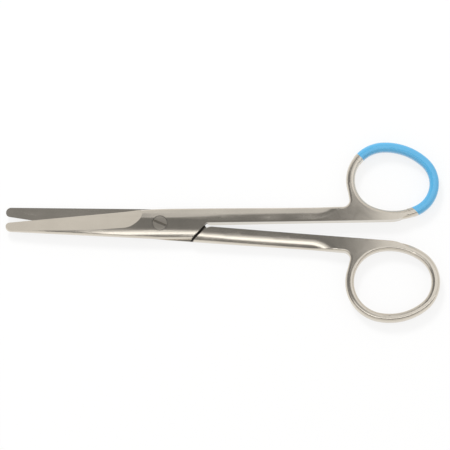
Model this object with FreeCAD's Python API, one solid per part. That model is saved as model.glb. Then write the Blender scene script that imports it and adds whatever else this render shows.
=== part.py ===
import FreeCAD, Part
import math
import os
from FreeCAD import Vector

# Straight dissecting scissors with one colour-coated finger ring, in millimetres and degrees.
# Each half is drawn closed: pivot at the origin, blade towards -X, ring towards +X, lap plane at z = 0.
# The front half fills the layer above the lap plane. The rear half is the same forging turned over.

# Joint
JOINT_HALF_WIDTH = 5.1
JOINT_HALF_THICKNESS = 2.3
LAP_GAP = 0.04

# Blade, measured from the pivot towards the tip
BLADE_LENGTH = 51.2
BLADE_TAPER_START = 12.0
TIP_HALF_THICKNESS = 1.1
TIP_SPINE_OFFSET = 2.2
TIP_EDGE_OFFSET = 0.75
TIP_SPINE_ROUND = 1.7
TIP_EDGE_ROUND = 1.4
EDGE_LEVEL_START = 2.2
HEEL_ROUND = 150.0

# Ground facet on the outside of the blade
FACET_TILT = 20.5
FACET_EDGE_LAND = 0.12
FACET_RUNOUT_START = 12.5
FACET_RUNOUT_RADIUS = 18.0

# Hollow ground into the inside of the blade
HOLLOW_DEPTH = 0.12
HOLLOW_WIDTH = 3.4
HOLLOW_START = 11.0
HOLLOW_END = 49.0

# Crown over joint, blade and shank
CROWN_FLAT_HALF = 1.0
CROWN_RADIUS = 8.0
CROWN_RUNOUT_RADIUS = 15.0
CROWN_RUNOUT_ANGLE = 50.0
EDGE_ROUND = 0.9

# Shoulder, where a half steps from the lap to its full thickness
SHOULDER_X = 10.6
SHOULDER_RUN = 4.9
SHOULDER_GAP = 0.4
SHOULDER_CORNER = 1.6

# Shank and web
SHANK_OUTER_START = 5.1
SHANK_OUTER_END = 5.4
SHANK_INNER_START = 0.05
SHANK_INNER_END = 0.75
SHANK_TAPER_END = 48.0
WEB_START = 60.5

# Finger rings. The hole is an egg of four tangent arcs: a near end, a far end and two equal sides.
RING_HALF_THICKNESS = 1.85
RING_BAND = 2.9
RING_EDGE_ROUND = 1.3
HOLE_EDGE_ROUND = 1.2
NECK_ROUND = 2.3
NECK_LEAN = 10.0
NECK_KINK = 8.0
CREASE_ROUND = 10.0
CREASE_ANGLE = 60.0
CREASE_LEAD = 1.0
FRONT_RING = {"x": 74.6, "y": 14.4, "near_radius": 9.8, "far_radius": 8.5, "side_radius": 17.7,
              "length": 6.7, "turn": -10.1}
REAR_RING = {"x": 76.1, "y": 14.6, "near_radius": 10.6, "far_radius": 9.15, "side_radius": 17.0,
             "length": 5.9, "turn": -4.3}

# Pivot screw
SCREW_HEAD_DIAMETER = 4.85
SCREW_HEAD_HEIGHT = 1.2
SCREW_SHANK_DIAMETER = 3.0
SCREW_CLEARANCE = 0.04
THREAD_CLEARANCE = 0.02
SCREW_RECESS = 0.03
SLOT_WIDTH = 0.8
SLOT_DEPTH = 0.6
SLOT_TURN = -21.0

# Colour coat, dipped onto the front ring up to a straight line
COAT_THICKNESS = 0.12
COAT_LINE_ANGLE = -45.5
COAT_LINE_OFFSET = 1.6

# Half of the angle between the halves as they lie
REST_HALF_OPENING = 2.1

# How far cutting bodies reach past the part
CLEAR = 10.0

ORIGIN = Vector(0, 0, 0)
ALONG = Vector(1, 0, 0)
ACROSS = Vector(0, 1, 0)
UP = Vector(0, 0, 1)


def polar(angle, length):
    turn = math.radians(angle)
    return Vector(length * math.cos(turn), length * math.sin(turn), 0)


def heading(vector):
    return math.degrees(math.atan2(vector.y, vector.x))


def plate(wire, low, high):
    face = Part.Face(wire)
    face.translate(UP * low)
    return face.extrude(UP * (high - low))


def below_lap(shape):
    """The shape mirrored through the lap plane."""
    return shape.mirror(ORIGIN, UP)


def turned_over(shape):
    """The shape turned over about the long axis of the closed scissors."""
    return shape.rotated(ORIGIN, ALONG, 180)


def rounded_outline(corners):
    """Closed wire through (point, radius) corners, each rounded by its own tangent arc."""
    points = [point for point, radius in corners]
    arcs = []
    for index, (corner, radius) in enumerate(corners):
        back = (points[index - 1] - corner).normalize()
        ahead = (points[(index + 1) % len(points)] - corner).normalize()
        half = back.getAngle(ahead) / 2
        reach = radius / math.tan(half)
        middle = corner + (back + ahead).normalize() * (radius / math.sin(half) - radius)
        arcs.append((corner + back * reach, middle, corner + ahead * reach, radius))
    edges = []
    for index, (start, middle, end, radius) in enumerate(arcs):
        if radius > 0:
            edges.append(Part.Arc(start, middle, end).toShape())
        edges.append(Part.makeLine(end, arcs[(index + 1) % len(arcs)][0]))
    return Part.Wire(edges)


def outline_edges(solid, wire, wanted):
    """Edges over the plan outline, off the lap plane and not upright, whose middles are wanted."""
    found = []
    for edge in solid.Edges:
        middle = edge.valueAt((edge.FirstParameter + edge.LastParameter) / 2)
        box = edge.BoundBox
        upright = box.ZLength > max(box.XLength, box.YLength)
        in_plan = Part.Vertex(middle.x, middle.y, 0)
        if upright or abs(middle.z) < LAP_GAP or not wanted(middle):
            continue
        if wire.distToShape(in_plan)[0] < LAP_GAP / 10:
            found.append(edge)
    return found


def ring_arcs(ring, grow):
    """Centre, radius, first and last angle of the four arcs that lie grow outside the hole of a ring."""
    near = ring["side_radius"] - ring["near_radius"]
    far = ring["side_radius"] - ring["far_radius"]
    along = (near ** 2 - far ** 2 + ring["length"] ** 2) / (2 * ring["length"])
    across = math.sqrt(near ** 2 - along ** 2)
    near_turn = heading(Vector(-along, across, 0))
    far_turn = heading(Vector(ring["length"] - along, across, 0))

    def arc(forward, aside, radius, first, last):
        centre = Vector(ring["x"], ring["y"], 0) + polar(ring["turn"], forward) + polar(ring["turn"] + 90, aside)
        return centre, radius + grow, first + ring["turn"], last + ring["turn"]

    return [
        arc(0, 0, ring["near_radius"], near_turn, 360 - near_turn),
        arc(along, across, ring["side_radius"], -near_turn, -far_turn),
        arc(ring["length"], 0, ring["far_radius"], -far_turn, far_turn),
        arc(along, -across, ring["side_radius"], far_turn, near_turn),
    ]


def ring_wire(ring, grow):
    edges = []
    for centre, radius, first, last in ring_arcs(ring, grow):
        start, middle, end = [centre + polar(angle, radius) for angle in (first, (first + last) / 2, last)]
        edges.append(Part.Arc(start, middle, end).toShape())
    return Part.Wire(edges)


def crown_section(with_spine_flank):
    """Section under the crown, across the ridge; the shank has no flank towards the other shank."""
    span = JOINT_HALF_WIDTH - CROWN_FLAT_HALF + EDGE_ROUND
    side = CROWN_FLAT_HALF + span
    floor = -3 * JOINT_HALF_THICKNESS

    def drop(distance):
        return CROWN_RADIUS - math.sqrt(CROWN_RADIUS ** 2 - distance ** 2)

    def flank(sign):
        start = Vector(0, sign * CROWN_FLAT_HALF, 0)
        middle = Vector(0, sign * (CROWN_FLAT_HALF + span / 2), -drop(span / 2))
        return Part.Arc(start, middle, Vector(0, sign * side, -drop(span))).toShape()

    spine_height = -drop(span) if with_spine_flank else 0
    spine_ridge = -CROWN_FLAT_HALF if with_spine_flank else -side
    edges = [flank(1)]
    edges.append(Part.makeLine(Vector(0, side, -drop(span)), Vector(0, side, floor)))
    edges.append(Part.makeLine(Vector(0, side, floor), Vector(0, -side, floor)))
    edges.append(Part.makeLine(Vector(0, -side, floor), Vector(0, -side, spine_height)))
    if with_spine_flank:
        edges.append(flank(-1))
    edges.append(Part.makeLine(Vector(0, spine_ridge, 0), Vector(0, CROWN_FLAT_HALF, 0)))
    return Part.Wire(Part.sortEdges(edges)[0])


def side_arc(level, end):
    """Arc in side view that leaves the point level horizontally and runs to the point end."""
    run = end.x - level.x
    fall = level.z - end.z
    radius = (run ** 2 + fall ** 2) / (2 * fall)
    sag = radius - math.copysign(math.sqrt(radius ** 2 - run ** 2 / 4), radius)
    return Part.Arc(level, level + Vector(run / 2, 0, -sag), end).toShape()


def blade_crown():
    """Body under the crown of blade and joint. The blade's back falls to the tip on one long arc."""
    level = Vector(-BLADE_TAPER_START, 0, JOINT_HALF_THICKNESS)
    run = BLADE_LENGTH - BLADE_TAPER_START
    fall = JOINT_HALF_THICKNESS - TIP_HALF_THICKNESS
    radius = (run ** 2 + fall ** 2) / (2 * fall)
    reach = run + EDGE_ROUND
    tip = level + Vector(-reach, 0, math.sqrt(radius ** 2 - reach ** 2) - radius)
    back = side_arc(level, tip)
    joint = Part.makeLine(level, Vector(SHOULDER_X + SHOULDER_RUN, 0, JOINT_HALF_THICKNESS))
    section = crown_section(True)
    section.rotate(ORIGIN, ACROSS, -math.degrees(math.asin(reach / radius)))
    section.translate(tip)
    return Part.Wire(Part.sortEdges([back, joint])[0]).makePipeShell([section], True, False)


def shank_crown():
    """Body under the crown of the shank. It thins towards the ring, then its flank turns off the edge."""
    start = Vector(SHOULDER_X + SHOULDER_RUN, 0, JOINT_HALF_THICKNESS)
    end = Vector(SHANK_TAPER_END, 0, RING_HALF_THICKNESS)
    middle = (start + end) / 2
    turn = CROWN_RUNOUT_RADIUS
    turn_run = math.sqrt((turn - CROWN_FLAT_HALF) ** 2 - (turn - SHANK_OUTER_END) ** 2)
    centre = Vector(WEB_START - turn_run, turn, RING_HALF_THICKNESS)
    angles = (-90, -90 + CROWN_RUNOUT_ANGLE / 2, -90 + CROWN_RUNOUT_ANGLE)
    turn_start, turn_middle, turn_end = [centre + polar(angle, turn) for angle in angles]
    path = [side_arc(start, middle), side_arc(end, middle), Part.makeLine(end, turn_start)]
    path.append(Part.Arc(turn_start, turn_middle, turn_end).toShape())
    section = crown_section(False)
    section.translate(start)
    return Part.Wire(Part.sortEdges(path)[0]).makePipeShell([section], True, False)


def web_body():
    reach = BLADE_LENGTH
    corner = Vector(WEB_START, -CLEAR, -RING_HALF_THICKNESS)
    return Part.makeBox(reach, reach, 2 * RING_HALF_THICKNESS, corner)


def half_outline(ring):
    """Plan of blade, joint, shank and web. The web's end lies inside the ring's band and hole."""
    near_centre, near_radius = ring_arcs(ring, RING_BAND)[0][:2]
    side_centre = ring_arcs(ring, RING_BAND)[1][0]
    crease_reach = CREASE_ROUND * math.tan(math.radians(CREASE_ANGLE / 2))
    crease = Vector(side_centre.x - CREASE_LEAD + crease_reach, SHANK_INNER_END, 0)
    neck_heading = 90 + NECK_LEAN
    neck_point = near_centre + polar(neck_heading + NECK_KINK + 90, near_radius)
    neck_length = (neck_point.y - SHANK_OUTER_END) / math.sin(math.radians(neck_heading))
    neck = neck_point - polar(neck_heading, neck_length)
    corners = [
        (Vector(SHOULDER_X, -JOINT_HALF_WIDTH, 0), 0),
        (Vector(SHOULDER_X + SHOULDER_RUN, SHANK_INNER_START, 0), 0),
        (crease, CREASE_ROUND),
        (crease + polar(CREASE_ANGLE, ring["near_radius"]), 0),
        (near_centre, 0),
        (neck_point + polar(neck_heading, RING_BAND), 0),
        (neck, NECK_ROUND),
        (Vector(-EDGE_LEVEL_START, SHANK_OUTER_START, 0), HEEL_ROUND),
        (Vector(-BLADE_LENGTH, TIP_EDGE_OFFSET, 0), TIP_EDGE_ROUND),
        (Vector(-BLADE_LENGTH, -TIP_SPINE_OFFSET, 0), TIP_SPINE_ROUND),
        (Vector(0, -JOINT_HALF_WIDTH, 0), HEEL_ROUND),
    ]
    return rounded_outline(corners)


def forged_bar(ring):
    """Blade, joint and shank with a rounded outer side and a sharp inner side."""
    wire = half_outline(ring)
    outline = plate(wire, -CLEAR, CLEAR)
    lengths = [outline.common(body) for body in (blade_crown(), shank_crown(), web_body())]
    upper = lengths[0].fuse(lengths[1:])
    bar = upper.common(below_lap(upper)).removeSplitter()

    def on_outer_side(point):
        before_hole = point.x < ring["x"] - ring["near_radius"]
        on_shank = point.y > SHANK_OUTER_START / 2 and before_hole
        return on_shank or (point.x < SHOULDER_X and point.y <= SHANK_OUTER_START / 2)

    return bar.makeFillet(EDGE_ROUND, outline_edges(bar, wire, on_outer_side))


def forged_ring(ring, grow):
    """Egg-shaped disc with rounded rim, grown outwards by the thickness of a coat."""
    half = RING_HALF_THICKNESS + grow
    disc = plate(ring_wire(ring, RING_BAND + grow), -half, half)
    rim = [edge for edge in disc.Edges if edge.BoundBox.ZLength < LAP_GAP]
    return disc.makeFillet(RING_EDGE_ROUND + grow, rim)


def round_hole_rim(solid, ring, grow):
    wire = ring_wire(ring, -grow)
    return solid.makeFillet(HOLE_EDGE_ROUND + grow, outline_edges(solid, wire, lambda point: True))


def blank(ring):
    hole = plate(ring_wire(ring, 0), -CLEAR, CLEAR)
    holed = forged_bar(ring).cut(hole).fuse(forged_ring(ring, 0).cut(hole))
    return round_hole_rim(holed, ring, 0)


def lap_cutter():
    """Everything that makes room for the other half: up to the lap plane and the shoulder."""
    top = Vector(SHOULDER_X, JOINT_HALF_WIDTH, 0)
    bottom = Vector(SHOULDER_X + SHOULDER_RUN, -SHANK_INNER_START, 0)
    along = (bottom - top).normalize()
    gap = polar(heading(along) + 90, SHOULDER_GAP)
    far = -BLADE_LENGTH - CLEAR
    points = [top + gap - along * CLEAR, bottom + gap + along * CLEAR]
    points += [Vector(far, points[1].y, 0), Vector(far, points[0].y, 0)]
    wire = Part.makePolygon(points + points[:1])
    return plate(wire, -CLEAR, LAP_GAP / 2)


def shoulder_corner_cutter():
    """Bevel across the corner where the shoulder meets the shank's inner face."""
    corner = Vector(SHOULDER_X + SHOULDER_RUN, SHANK_INNER_START, -JOINT_HALF_THICKNESS)
    shoulder = (Vector(SHOULDER_X, JOINT_HALF_WIDTH, 0) - Vector(corner.x, -corner.y, 0)).normalize()
    out = polar(heading(shoulder) + 90, CLEAR)
    points = [corner + shoulder * SHOULDER_CORNER, corner + ALONG * SHOULDER_CORNER, corner + UP * SHOULDER_CORNER]
    bevel = Part.Face(Part.makePolygon(points + points[:1]))
    normal = bevel.normalAt(0, 0)
    if normal.dot(out) < 0:
        normal = normal * -1
    return Part.Face(Part.makePolygon(points + points[:1])).extrude(normal * SHOULDER_CORNER)


def facet_cutter():
    """Body outside the ground facet: flat along the cutting edge, rising in an arc at the heel."""
    edge_start = Vector(-EDGE_LEVEL_START, SHANK_OUTER_START, 0)
    edge_end = Vector(-BLADE_LENGTH, TIP_EDGE_OFFSET, 0)
    along = (edge_end - edge_start).normalize()
    lift = 2 * JOINT_HALF_THICKNESS
    angle = math.degrees(math.acos(1 - lift / FACET_RUNOUT_RADIUS))
    centre = Vector(FACET_RUNOUT_START + edge_start.x, 0, FACET_RUNOUT_RADIUS)
    flat_end = Vector(centre.x, 0, 0)

    def on_arc(turn):
        return centre - Vector(math.sin(math.radians(turn)), 0, math.cos(math.radians(turn))) * FACET_RUNOUT_RADIUS

    far = BLADE_LENGTH + CLEAR
    edges = [Part.Arc(on_arc(angle), on_arc(angle / 2), flat_end).toShape()]
    edges.append(Part.makeLine(flat_end, Vector(far, 0, 0)))
    edges.append(Part.makeLine(Vector(far, 0, 0), Vector(far, 0, lift)))
    edges.append(Part.makeLine(Vector(far, 0, lift), on_arc(angle)))
    side = Part.Face(Part.Wire(edges))
    side.translate(ACROSS * -CLEAR)
    cutter = side.extrude(ACROSS * 2 * CLEAR)
    cutter.rotate(ORIGIN, ALONG, FACET_TILT)
    cutter.rotate(ORIGIN, UP, heading(along))
    cutter.translate(edge_start + UP * FACET_EDGE_LAND)
    return cutter


def hollow_cutter():
    """Long shallow barrel that hollows the blade's inner face, fading out at both ends."""
    half_length = (HOLLOW_END - HOLLOW_START) / 2
    radius = (HOLLOW_WIDTH ** 2 / 4 + HOLLOW_DEPTH ** 2) / (2 * HOLLOW_DEPTH)
    low = radius - HOLLOW_DEPTH
    arc = Part.Arc(Vector(-half_length, 0, low), Vector(0, 0, radius), Vector(half_length, 0, low)).toShape()
    ends = [Vector(half_length, 0, low), Vector(half_length, 0, 0), Vector(-half_length, 0, 0),
            Vector(-half_length, 0, low)]
    face = Part.Face(Part.Wire([arc, Part.makePolygon(ends)]))
    barrel = face.revolve(ORIGIN, ALONG, 360)
    heel = Vector(-HOLLOW_START, (SHANK_OUTER_START - JOINT_HALF_WIDTH) / 2, 0)
    tip = Vector(-BLADE_LENGTH, (TIP_EDGE_OFFSET - TIP_SPINE_OFFSET) / 2, 0)
    barrel.rotate(ORIGIN, UP, heading(heel - tip))
    barrel.translate(heel + (tip - heel).normalize() * half_length + UP * (LAP_GAP / 2 - low))
    return barrel


def half(ring):
    tools = [lap_cutter(), facet_cutter(), hollow_cutter(), shoulder_corner_cutter()]
    return blank(ring).cut(tools)


def drilled_front(solid):
    bore = Part.makeCylinder(SCREW_SHANK_DIAMETER / 2 + SCREW_CLEARANCE, 2 * CLEAR, UP * -CLEAR)
    seat = UP * (JOINT_HALF_THICKNESS - SCREW_HEAD_HEIGHT)
    counterbore = Part.makeCylinder(SCREW_HEAD_DIAMETER / 2 + SCREW_CLEARANCE, CLEAR, seat)
    return solid.cut([bore, counterbore])


def drilled_rear(solid):
    return solid.cut(Part.makeCylinder(SCREW_SHANK_DIAMETER / 2 + THREAD_CLEARANCE, 2 * CLEAR, UP * -CLEAR))


def pivot_screw():
    """Slotted screw whose head is ground just below the crown and whose end is ground flush with it."""
    crowned = blade_crown().common(below_lap(blade_crown()))
    seat = UP * (JOINT_HALF_THICKNESS - SCREW_HEAD_HEIGHT + SCREW_CLEARANCE)
    head = Part.makeCylinder(SCREW_HEAD_DIAMETER / 2, CLEAR, seat)
    shank = Part.makeCylinder(SCREW_SHANK_DIAMETER / 2, 2 * CLEAR, UP * -CLEAR)
    lowered = crowned.translated(UP * -SCREW_RECESS)
    slot = Part.makeBox(2 * CLEAR, SLOT_WIDTH, CLEAR, Vector(-CLEAR, -SLOT_WIDTH / 2, 0))
    slot.translate(UP * (JOINT_HALF_THICKNESS - SCREW_RECESS - SLOT_DEPTH))
    slot.rotate(ORIGIN, UP, SLOT_TURN + REST_HALF_OPENING)
    return head.fuse(shank).common(lowered).common(crowned).cut(slot).removeSplitter()


def ring_coating(front):
    """Thin skin round the ring, on the far side of the straight line it was dipped to."""
    grow = COAT_THICKNESS
    skin = forged_ring(FRONT_RING, grow).cut(plate(ring_wire(FRONT_RING, -grow), -CLEAR, CLEAR))
    skin = round_hole_rim(skin, FRONT_RING, grow)
    dipped = Part.makeBox(BLADE_LENGTH, 2 * BLADE_LENGTH, 2 * CLEAR, Vector(-COAT_LINE_OFFSET, -BLADE_LENGTH, -CLEAR))
    dipped.rotate(ORIGIN, UP, COAT_LINE_ANGLE + 90)
    dipped.translate(Vector(FRONT_RING["x"], FRONT_RING["y"], 0))
    return skin.common(dipped).cut(front)


def laid_down(shape, opening):
    """The shape turned to its resting opening, with the joint's underside at z = 0."""
    return shape.rotated(ORIGIN, UP, opening).translated(UP * JOINT_HALF_THICKNESS)


def build():
    front = drilled_front(half(FRONT_RING))
    rear = turned_over(drilled_rear(half(REAR_RING)))
    return {
        "front_half": laid_down(front, REST_HALF_OPENING),
        "ring_coating": laid_down(ring_coating(front), REST_HALF_OPENING),
        "rear_half": laid_down(rear, -REST_HALF_OPENING),
        "pivot_screw": laid_down(pivot_screw(), -REST_HALF_OPENING),
    }


os.makedirs("parts", exist_ok=True)
for name, shape in build().items():
    shape.exportStep("parts/" + name + ".step")
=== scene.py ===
"""Dissecting scissors in satin steel with one colour-coated finger ring, laid on a white floor."""

import math

import bpy
from bpy.props import FloatProperty, FloatVectorProperty, PointerProperty
from mathutils import Matrix, Vector

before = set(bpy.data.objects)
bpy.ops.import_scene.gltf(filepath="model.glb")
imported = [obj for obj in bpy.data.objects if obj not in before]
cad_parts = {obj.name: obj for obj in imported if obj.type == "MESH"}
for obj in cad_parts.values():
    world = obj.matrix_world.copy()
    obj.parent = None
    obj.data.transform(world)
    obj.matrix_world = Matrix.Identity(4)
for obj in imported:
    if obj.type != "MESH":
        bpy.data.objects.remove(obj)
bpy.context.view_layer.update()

bl_info = {
    "name": "Dissecting scissors",
    "version": (1, 0, 0),
    "blender": (4, 5, 0),
    "location": "View3D > Sidebar > Scissors",
    "description": "Dresses the packed dissecting scissors in satin steel and a glossy ring coat",
    "category": "Object",
}

MM = 0.001

# How far each half is turned from the closed position, in degrees
FRONT_TURN = 2.1
REAR_TURN = -2.1

# Where the web begins and ends, and where the middle of each ring's hole lies in the closed scissors
WEB_START = 56 * MM
WEB_END = 68 * MM
FRONT_RING_CENTRE = (77.3 * MM, 13.9 * MM)
REAR_RING_CENTRE = (78.3 * MM, -14.4 * MM)

# The line that the front ring was dipped to, in the closed scissors: a point of it, its normal and its edge
COAT_LINE = (74.5 * MM, 14.3 * MM)
COAT_LINE_NORMAL = math.radians(44.5)
COAT_EDGE = (-0.04 * MM, 0.04 * MM)

# The plastic: refractive index, waviness, and how its colour and roughness vary in clouds
COAT_IOR = 1.7
COAT_TINTS = (0.94, 1.06)
WAVE_SCALE = 220
WAVE_DEPTH = 0.02 * MM
CLOUD_SCALE = 120
CLOUD_ROUGHENING = 0.03

# The steel's brush streaks and handling marks, and the colours of its dark and light streaks and of the
# painted shade in the joint's seams
STREAK_SCALE = 0.3
STREAK_SHARE = 0.6
HANDLING_SCALE = 90
HANDLING_RANGE = (0.35, 0.7)
STEEL_TINTS = (0.9, 1.07, 0.12)

# How much smoother than the finish says the steel is at its smoothest, and what each mark adds
SMOOTHER = 0.05
STREAK_ROUGHENING = 0.06
HANDLING_ROUGHENING = 0.04
# Roughening where the joint's seams carry painted shade
SEAM_SHADE_ROUGHENING = 0.3

# The gap at the shoulder as the scissors lie: a point, its direction and how far its painted shade reaches
# each way
SHOULDER = (12.9 * MM, -2.63 * MM)
SHOULDER_HEADING = math.radians(52.6)
GAP_BAND = (0.3 * MM, 0.6 * MM)
GAP_MIDDLE = 13 * MM
GAP_REACH = (2.5 * MM, 3 * MM)
GAP_FLOOR = (1.9 * MM, 2.1 * MM)
GAP_TOP = (3.9 * MM, 4.4 * MM)

# The screw's head and slot: how far the dark line round the head and the painted shade in the slot reach, and
# how dark each is
HEAD_RADIUS = 2.44 * MM
HEAD_LEVEL = (3.5 * MM, 3.6 * MM)
RIM_BAND = (0.06 * MM, 0.2 * MM)
RIM_DARKENING = 0.6
SLOT_REACH = (2 * MM, 2.4 * MM)
SLOT_TOP = (4.1 * MM, 4.5 * MM)
SLOT_SHADE = 0.5
SCREW_ROUGHENING = 0.15

# How high the cards hang that the steel mirrors, and how far apart two hang that overlap
CARD_HEIGHT = 0.15
CARD_LIFT = 0.5 * MM

# Dark cards: name, two opposite corners, brightness against the flag level, and slant
FLAGS = (
    ("blade_flag", (-0.4, -0.0164), (-0.012, 0.15), 1.36, 0),
    ("tip_flag", (-0.4, -0.0728), (-0.034, -0.0164), 1.36, 0),
    ("joint_flag", (-0.012, -0.0164), (0.052, 0.0655), 1, 0),
    ("shank_flag", (0.005, 0.01), (0.052, 0.112), 1, 2),
    ("web_flag", (0.052, -0.0164), (0.072, 0.044), 1, 0),
)

# Light and grey cards: name, two opposite corners, brightness, and lift above or below the others
LIGHT_CARDS = (
    ("ring_card", (0.072, -0.0164), (0.25, 0.08), 0.98, 0),
    ("near_light", (-0.034, -0.0308), (0.34, -0.0164), 0.55, 0),
    ("middle_light", (-0.034, -0.0488), (0.34, -0.0308), 0.95, 0),
    ("strip_light", (-0.034, -0.0728), (0.34, -0.0488), 1.8, 0),
    ("south_card", (-0.5, -0.158), (0.5, -0.0728), 0.2, 0),
    ("shank_light", (0.0165, -0.088), (0.06, -0.0728), 1.8, -CARD_LIFT),
    ("north_card", (-0.012, 0), (0.075, 0.6), 0.71, CARD_LIFT),
)

# The one lamp: its place, the point that it is turned to, its side and its brightness
LAMP_PLACE = (-0.446, 0.985, 1.037)
LAMP_AIM = (0.02, 0, 0)
LAMP_SIZE = 0.36
LAMP_LEVEL = 23

# How far the floor lies below the scissors, so that the two never share a plane
FLOOR_GAP = 0.02 * MM

# The point that the camera looks at
CAMERA_AIM = (21.59 * MM, 0.93 * MM, 0)


class Finish(bpy.types.PropertyGroup):
    """Colours and grain of the steel and of the ring's coat."""

    steel_colour: FloatVectorProperty(
        name="Steel colour", description="Colour that the satin steel reflects",
        subtype="COLOR", size=3, min=0, max=1, default=(0.72, 0.665, 0.58))
    steel_roughness: FloatProperty(
        name="Steel roughness", description="Roughness of the satin steel",
        subtype="FACTOR", min=0, max=1, default=0.17)
    grain_width: FloatProperty(
        name="Grain width", description="Distance between brush marks",
        unit="LENGTH", min=0.05 * MM, max=5 * MM, default=0.32 * MM)
    grain_length: FloatProperty(
        name="Grain length", description="Length of a brush mark",
        unit="LENGTH", min=1 * MM, max=200 * MM, default=40 * MM)
    grain_depth: FloatProperty(
        name="Grain depth", description="Depth of the brush marks",
        unit="LENGTH", min=0, max=0.1 * MM, default=0.004 * MM)
    # Strength of the painted shade in the joint's seams
    seam_shade: FloatProperty(
        name="Seam shade", description="How dark the joint's seams are",
        subtype="FACTOR", min=0, max=1, default=1)
    coat_colour: FloatVectorProperty(
        name="Coat colour", description="Colour of the plastic coat on the front ring",
        subtype="COLOR", size=3, min=0, max=1, default=(0.098, 0.435, 0.74))
    coat_roughness: FloatProperty(
        name="Coat roughness", description="Roughness of the plastic coat",
        subtype="FACTOR", min=0, max=1, default=0.06)


class Studio(bpy.types.PropertyGroup):
    """Floor, light and camera."""

    floor_colour: FloatVectorProperty(
        name="Floor colour", description="Colour of the floor",
        subtype="COLOR", size=3, min=0, max=1, default=(0.95, 0.955, 0.96))
    floor_size: FloatProperty(
        name="Floor size", description="Side of the square floor",
        unit="LENGTH", min=0.5, max=20, default=6)
    sky_colour: FloatVectorProperty(
        name="Sky colour", description="Colour of the light from all round",
        subtype="COLOR", size=3, min=0, max=1, default=(1.0, 0.985, 0.965))
    sky_level: FloatProperty(
        name="Sky level", description="Brightness of the light from all round",
        min=0, max=4, default=0.8)
    floor_glow: FloatProperty(
        name="Floor glow", description="Share of plain white in how the floor shows",
        subtype="FACTOR", min=0, max=1, default=0.78)
    flag_level: FloatProperty(
        name="Flag level", description="Brightness of the dark cards that the steel mirrors",
        min=0, max=1, default=0.21)
    camera_elevation: FloatProperty(
        name="Camera elevation", description="Height of the camera above the horizon",
        unit="ROTATION", min=0, max=math.pi / 2, default=math.radians(78))
    camera_roll: FloatProperty(
        name="Camera turn", description="Turn of the picture's right-hand side from the long axis",
        unit="ROTATION", min=-math.pi, max=math.pi, default=math.radians(1.76))
    lens: FloatProperty(
        name="Lens", description="Focal length",
        unit="CAMERA", min=50, max=2000, default=800)
    picture_width: FloatProperty(
        name="Picture width", description="Width of what the picture shows at the scissors",
        unit="LENGTH", min=0.05, max=2, default=149.4 * MM)


class Value:
    """A socket that carries a number and takes part in Python expressions."""

    def __init__(self, shader, socket):
        self.shader = shader
        self.socket = socket

    def __add__(self, other):
        return self.shader.maths("ADD", self, other)

    __radd__ = __add__

    def __sub__(self, other):
        return self.shader.maths("SUBTRACT", self, other)

    def __rsub__(self, other):
        return self.shader.maths("SUBTRACT", other, self)

    def __mul__(self, other):
        return self.shader.maths("MULTIPLY", self, other)

    __rmul__ = __mul__

    def __truediv__(self, other):
        return self.shader.maths("DIVIDE", self, other)

    def __rtruediv__(self, other):
        return self.shader.maths("DIVIDE", other, self)


class Shader:
    """Builds the nodes of one material or of the world."""

    def __init__(self, owner):
        owner.use_nodes = True
        self.tree = owner.node_tree
        self.tree.nodes.clear()

    def node(self, kind, settings, *values, **named):
        """Adds a node, sets its settings, then its sockets by order or by name."""
        made = self.tree.nodes.new(kind)
        for key, setting in settings.items():
            setattr(made, key, setting)
        sockets = list(zip(made.inputs, values))
        sockets += [(made.inputs[name.replace("_", " ")], value) for name, value in named.items()]
        for socket, value in sockets:
            self.feed(socket, value)
        return made

    def feed(self, socket, value):
        """Links a value or another socket to a socket, or sets a constant on it."""
        if isinstance(value, Value):
            value = value.socket
        if isinstance(value, bpy.types.NodeSocket):
            self.tree.links.new(value, socket)
        else:
            socket.default_value = value

    def value(self, kind, settings, *values, **named):
        """First result of a new node, as a number."""
        return Value(self, self.node(kind, settings, *values, **named).outputs[0])

    def maths(self, operation, *values):
        """Result of one step of arithmetic."""
        return self.value("ShaderNodeMath", {"operation": operation}, *values)

    def noise(self, place, scale, detail, roughness=0.5):
        """Cloudy pattern at a place."""
        return self.value("ShaderNodeTexNoise", {}, Vector=place, Scale=scale,
                          Detail=detail, Roughness=roughness)

    def split(self, vector):
        """The three parts of a vector, as numbers."""
        made = self.node("ShaderNodeSeparateXYZ", {}, vector)
        return [Value(self, socket) for socket in made.outputs]

    def coordinates(self, turn=0):
        """Place on the piece as it lies, or in the closed scissors if its turn from there is given."""
        place = self.node("ShaderNodeTexCoord", {}).outputs["Object"]
        if turn:
            turn_back = (0, 0, math.radians(-turn))
            place = self.node("ShaderNodeMapping", {}, Vector=place, Rotation=turn_back).outputs[0]
        return place

    def ramp(self, value, low, high):
        """0 where value is at most low, 1 where it is at least high, smooth between."""
        return self.value("ShaderNodeMapRange", {"interpolation_type": "SMOOTHSTEP"}, value, low, high, 0, 1)

    def band(self, value, half, edge):
        """1 where value is within half of zero, 0 where it is beyond edge, smooth between."""
        return 1 - self.ramp(self.maths("ABSOLUTE", value), half, edge)

    def blend(self, mask, first, second, kind="FLOAT"):
        """The first value where mask is 0 and the second where it is 1."""
        made = self.node("ShaderNodeMix", {"data_type": kind})
        place, result = {"FLOAT": (2, 0), "VECTOR": (4, 1), "RGBA": (6, 2)}[kind]
        for socket, value in zip((made.inputs[0], *made.inputs[place:place + 2]), (mask, first, second)):
            self.feed(socket, value)
        return made.outputs[result]


def grain_place(shader, finish, centre, turn):
    """Grain coordinates: along and across the half, and round the ring beyond the web."""
    x, y, z = shader.split(shader.coordinates(turn))
    to_x = x - centre[0]
    to_y = y - centre[1]
    distance = shader.maths("SQRT", to_x * to_x + to_y * to_y)
    angle = shader.maths("ARCTAN2", to_y, to_x)
    up = z / finish.grain_width
    along = shader.node("ShaderNodeCombineXYZ", {}, x / finish.grain_length, y / finish.grain_width, up)
    around = shader.node("ShaderNodeCombineXYZ", {}, angle, distance / finish.grain_width, up)
    on_ring = shader.ramp(x, WEB_START, WEB_END)
    return shader.blend(on_ring, along.outputs[0], around.outputs[0], "VECTOR")


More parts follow.
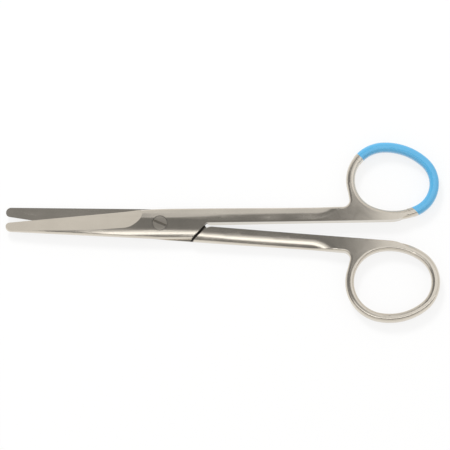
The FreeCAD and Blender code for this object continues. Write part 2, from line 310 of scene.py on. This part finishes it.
def tinted(colour, factor):
    """The colour made darker or lighter by a factor."""
    return tuple(min(1, channel * factor) for channel in colour) + (1,)


def joint_seam_shade(shader):
    """Painted shade in the gap at the shoulder and in the screw's slot, and a dark line round the screw's
    head.
    """
    x, y, z = shader.split(shader.coordinates())
    across = (x - SHOULDER[0]) * math.sin(SHOULDER_HEADING) - (y - SHOULDER[1]) * math.cos(SHOULDER_HEADING)
    gap = shader.band(across, *GAP_BAND) * shader.band(x - GAP_MIDDLE, *GAP_REACH)
    gap = gap * shader.ramp(z, *GAP_FLOOR) * (1 - shader.ramp(z, *GAP_TOP))
    from_axis = shader.maths("SQRT", x * x + y * y)
    at_head = shader.ramp(z, *HEAD_LEVEL)
    rim = shader.band(from_axis - HEAD_RADIUS, *RIM_BAND) * at_head * RIM_DARKENING
    slot = (1 - shader.ramp(from_axis, *SLOT_REACH)) * at_head * (1 - shader.ramp(z, *SLOT_TOP)) * SLOT_SHADE
    return shader.maths("MAXIMUM", shader.maths("MAXIMUM", gap, rim), slot)


def steel_surface(shader, finish, centre, turn, roughening=0):
    """Steel brushed along the length and round the ring, with faint handling marks and painted shade in the
    joint's seams.
    """
    place = grain_place(shader, finish, centre, turn)
    fine = shader.noise(place, 1, 3, 0.65)
    streaks = shader.noise(place, STREAK_SCALE, 2)
    handled = shader.ramp(shader.noise(shader.coordinates(turn), HANDLING_SCALE, 3), *HANDLING_RANGE)
    shade = streaks * STREAK_SHARE + handled * (1 - STREAK_SHARE)
    dark, light, shade_colour = [tinted(finish.steel_colour, tint) for tint in STEEL_TINTS]
    # Painted shade: the shoulder gap and the screw's slot are darkened towards a near-black steel tint and
    # made rougher, and a dark line is drawn round the screw's head
    seam_shade = joint_seam_shade(shader) * finish.seam_shade
    colour = shader.blend(seam_shade, shader.blend(shade, dark, light, "RGBA"), shade_colour, "RGBA")
    smoothest = finish.steel_roughness + roughening - SMOOTHER
    roughness = smoothest + streaks * STREAK_ROUGHENING + handled * HANDLING_ROUGHENING
    roughness = roughness + seam_shade * SEAM_SHADE_ROUGHENING
    bump = shader.node("ShaderNodeBump", {}, Strength=1, Distance=finish.grain_depth, Height=fine)
    return shader.node("ShaderNodeBsdfPrincipled", {}, Base_Color=colour, Metallic=1,
                       Roughness=roughness, Normal=bump.outputs[0])


def satin_steel(name, finish, centre, turn, roughening=0):
    """Material of a steel part, rougher than the rest by the given amount."""
    material = bpy.data.materials.new(name)
    shader = Shader(material)
    surface = steel_surface(shader, finish, centre, turn, roughening)
    shader.node("ShaderNodeOutputMaterial", {}, surface.outputs[0])
    return material


def ring_coat(name, finish, centre, turn):
    """Glossy dipped plastic up to a straight line, with a faint waviness and slightly uneven colour."""
    material = bpy.data.materials.new(name)
    shader = Shader(material)
    waves = shader.noise(shader.coordinates(), WAVE_SCALE, 1)
    cloud = shader.noise(shader.coordinates(), CLOUD_SCALE, 2)
    dark, light = [tinted(finish.coat_colour, tint) for tint in COAT_TINTS]
    colour = shader.blend(cloud, dark, light, "RGBA")
    bump = shader.node("ShaderNodeBump", {}, Strength=1, Distance=WAVE_DEPTH, Height=waves)
    plastic = shader.node("ShaderNodeBsdfPrincipled", {}, Base_Color=colour, IOR=COAT_IOR,
                          Roughness=finish.coat_roughness + cloud * CLOUD_ROUGHENING, Normal=bump.outputs[0])
    bare = steel_surface(shader, finish, centre, turn)
    x, y = shader.split(shader.coordinates(turn))[:2]
    past_line = (x - COAT_LINE[0]) * math.cos(COAT_LINE_NORMAL)
    past_line = past_line + (y - COAT_LINE[1]) * math.sin(COAT_LINE_NORMAL)
    coated = shader.ramp(past_line, *COAT_EDGE)
    mixed = shader.node("ShaderNodeMixShader", {}, coated, bare.outputs[0], plastic.outputs[0])
    shader.node("ShaderNodeOutputMaterial", {}, mixed.outputs[0])
    return material


def dress(node, material):
    """Gives a CAD node its finish."""
    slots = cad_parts[node].data.materials
    slots.clear()
    slots.append(material)


class SCISSORS_OT_front_half(bpy.types.Operator):
    """Finish the half that lies on top at the joint"""

    bl_idname = "scissors.front_half"
    bl_label = "Front half"

    def execute(self, context):
        finish = context.scene.scissors_finish
        dress("front_half", satin_steel("front_satin_steel", finish, FRONT_RING_CENTRE, FRONT_TURN))
        return {"FINISHED"}


class SCISSORS_OT_rear_half(bpy.types.Operator):
    """Finish the half that lies underneath at the joint"""

    bl_idname = "scissors.rear_half"
    bl_label = "Rear half"

    def execute(self, context):
        finish = context.scene.scissors_finish
        dress("rear_half", satin_steel("rear_satin_steel", finish, REAR_RING_CENTRE, REAR_TURN))
        return {"FINISHED"}


class SCISSORS_OT_pivot_screw(bpy.types.Operator):
    """Finish the slotted screw of the joint"""

    bl_idname = "scissors.pivot_screw"
    bl_label = "Pivot screw"

    def execute(self, context):
        finish = context.scene.scissors_finish
        dress("pivot_screw", satin_steel("screw_satin_steel", finish, REAR_RING_CENTRE, FRONT_TURN,
                                        SCREW_ROUGHENING))
        return {"FINISHED"}


class SCISSORS_OT_ring_coating(bpy.types.Operator):
    """Finish the plastic coat on the front ring"""

    bl_idname = "scissors.ring_coating"
    bl_label = "Ring coating"

    def execute(self, context):
        finish = context.scene.scissors_finish
        dress("ring_coating", ring_coat("glossy_coat", finish, FRONT_RING_CENTRE, FRONT_TURN))
        return {"FINISHED"}


def area_light(name, place, aim, side, level):
    """Square soft box of the given radiance, at a place, turned to a point and hidden from reflections."""
    data = bpy.data.lights.new(name, "AREA")
    data.size = side
    data.energy = level * math.pi * side * side
    lamp = bpy.data.objects.new(name, data)
    bpy.context.scene.collection.objects.link(lamp)
    lamp.location = place
    lamp.rotation_euler = (Vector(aim) - Vector(place)).to_track_quat("-Z", "Y").to_euler()
    lamp.visible_glossy = False


def card(name, low, high, level, slant=0, lift=0):
    """Level card overhead that only reflections show.

    Its long sides run north by slant for each metre east. Lift puts it above the other cards, which then
    hide it, or below them if it is negative.
    """
    bpy.ops.mesh.primitive_plane_add(size=1)
    panel = bpy.context.object
    panel.name = name
    width, depth = high[0] - low[0], high[1] - low[1]
    panel.data.transform(Matrix(((width, 0, 0, 0), (slant * width, depth, 0, 0), (0, 0, 1, 0), (0, 0, 0, 1))))
    panel.location = ((low[0] + high[0]) / 2, (low[1] + high[1]) / 2, CARD_HEIGHT + lift)
    for ray in ("camera", "diffuse", "shadow", "transmission", "volume_scatter"):
        setattr(panel, "visible_" + ray, False)
    material = bpy.data.materials.new(name)
    shader = Shader(material)
    glow = shader.node("ShaderNodeEmission", {}, (level, level, level, 1), 1)
    shader.node("ShaderNodeOutputMaterial", {}, glow.outputs[0])
    panel.data.materials.append(material)


class SCISSORS_OT_stage(bpy.types.Operator):
    """Set up the floor, the light and the camera"""

    bl_idname = "scissors.stage"
    bl_label = "Stage"

    def execute(self, context):
        studio = context.scene.scissors_studio
        bpy.ops.object.select_all(action="DESELECT")
        bpy.ops.mesh.primitive_plane_add(size=studio.floor_size)
        floor = context.object
        floor.name = "floor"
        floor.location.z = -FLOOR_GAP
        material = bpy.data.materials.new("floor")
        shader = Shader(material)
        colour = tuple(studio.floor_colour) + (1,)
        matt = shader.node("ShaderNodeBsdfDiffuse", {}, colour)
        white = shader.node("ShaderNodeEmission", {}, (1, 1, 1, 1), 1)
        path = shader.node("ShaderNodeLightPath", {}).outputs
        seen = shader.maths("MAXIMUM", path["Is Camera Ray"], path["Is Glossy Ray"])
        seen = shader.maths("MAXIMUM", seen, path["Is Transmission Ray"])
        glow = seen * studio.floor_glow
        mixed = shader.node("ShaderNodeMixShader", {}, glow, matt.outputs[0], white.outputs[0])
        shader.node("ShaderNodeOutputMaterial", {}, mixed.outputs[0])
        floor.data.materials.append(material)
        for name, low, high, level, slant in FLAGS:
            card(name, low, high, studio.flag_level * level, slant)
        for name, low, high, level, lift in LIGHT_CARDS:
            card(name, low, high, level, lift=lift)
        area_light("key_softbox", LAMP_PLACE, LAMP_AIM, LAMP_SIZE, LAMP_LEVEL)
        world = bpy.data.worlds.new("studio")
        context.scene.world = world
        sky = Shader(world)
        glow = sky.node("ShaderNodeBackground", {}, tuple(studio.sky_colour) + (1,), studio.sky_level)
        sky.node("ShaderNodeOutputWorld", {}, glow.outputs[0])
        data = bpy.data.cameras.new("camera")
        data.lens = studio.lens
        camera = bpy.data.objects.new("camera", data)
        context.scene.collection.objects.link(camera)
        context.scene.camera = camera
        distance = studio.picture_width / 2 * data.lens / (data.sensor_width / 2)
        roll = Matrix.Rotation(studio.camera_roll, 4, "Z")
        tilt = Matrix.Rotation(math.pi / 2 - studio.camera_elevation, 4, "X")
        back = Matrix.Translation((0, 0, distance))
        camera.matrix_world = Matrix.Translation(CAMERA_AIM) @ roll @ tilt @ back
        context.scene.view_settings.view_transform = "Standard"
        return {"FINISHED"}


class SCISSORS_PT_panel(bpy.types.Panel):
    """Lists the pieces and their settings"""

    bl_idname = "SCISSORS_PT_panel"
    bl_label = "Dissecting scissors"
    bl_space_type = "VIEW_3D"
    bl_region_type = "UI"
    bl_category = "Scissors"

    def draw(self, context):
        for settings in (context.scene.scissors_finish, context.scene.scissors_studio):
            for name in settings.__annotations__:
                self.layout.prop(settings, name)
        for operator in OPERATORS:
            self.layout.operator(operator.bl_idname)


OPERATORS = (
    SCISSORS_OT_front_half,
    SCISSORS_OT_rear_half,
    SCISSORS_OT_pivot_screw,
    SCISSORS_OT_ring_coating,
    SCISSORS_OT_stage,
)
CLASSES = (Finish, Studio, *OPERATORS, SCISSORS_PT_panel)


def register():
    for each in CLASSES:
        bpy.utils.register_class(each)
    bpy.types.Scene.scissors_finish = PointerProperty(type=Finish)
    bpy.types.Scene.scissors_studio = PointerProperty(type=Studio)


def unregister():
    del bpy.types.Scene.scissors_studio
    del bpy.types.Scene.scissors_finish
    for each in reversed(CLASSES):
        bpy.utils.unregister_class(each)


def main():
    register()
    bpy.ops.scissors.front_half()
    bpy.ops.scissors.rear_half()
    bpy.ops.scissors.pivot_screw()
    bpy.ops.scissors.ring_coating()
    bpy.ops.scissors.stage()


if __name__ == "__main__":
    main()
